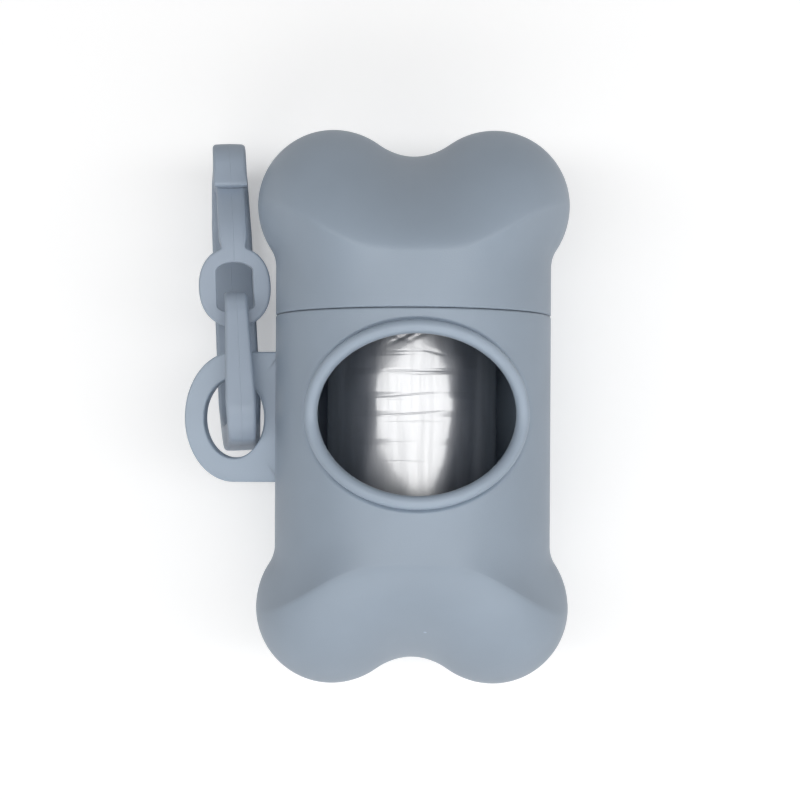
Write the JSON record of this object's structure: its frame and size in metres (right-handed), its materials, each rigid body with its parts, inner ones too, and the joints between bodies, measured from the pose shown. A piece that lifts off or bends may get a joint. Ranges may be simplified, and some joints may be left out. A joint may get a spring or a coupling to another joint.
{
  "type": "dog waste bag dispenser",
  "caption": "Bone-shaped holder for a roll of waste bags, with a pull-off cap, an oval window in the front and a sprung hook clip on a side lug.",
  "frame": {"origin": "on the surface that the holder lies on, under the middle of the whole outline", "axes": "+Y along the bone towards the cap, +Z out of the window, the lug and clip on the -X side"},
  "size_m": [0.0624, 0.09, 0.0457],
  "materials": {
    "shell": "soft-touch matt, grey blue",
    "clip": "fine satin, grey blue",
    "film": "glossy thin black film, wound and creased",
    "card": "plain wound card"
  },
  "bodies": {
    "body": {"body_shell": "shell"},
    "cap": {"cap_shell": "shell"},
    "clip": {"clip_frame": "clip"},
    "gate": {"clip_gate": "clip"},
    "roll": {"bag_roll": "film", "core_tube": "card"}
  },
  "joints": [
    {"name": "cap_slide", "type": "slide", "parent": "body", "child": "cap", "axis": [0, 1, 0], "range_m": [0, 0.05]},
    {"name": "clip_swing", "type": "hinge", "parent": "body", "child": "clip", "pos_m": [-0.0224, -0.0038, 0.0224], "axis": [0, 0, 1], "range_deg": [-1, 165]},
    {"name": "gate_flex", "type": "hinge", "parent": "clip", "child": "gate", "pos_m": [-0.02467, 0.03732, 0.01994], "axis": [0.9856, 0.0448, -0.1633], "range_deg": [0, 22], "stiffness_Nm_per_rad": 0.12},
    {"name": "roll_spin", "type": "hinge", "parent": "body", "child": "roll", "pos_m": [0.00585, 0, 0.01788], "axis": [0, 1, 0], "continuous": true}
  ]
}
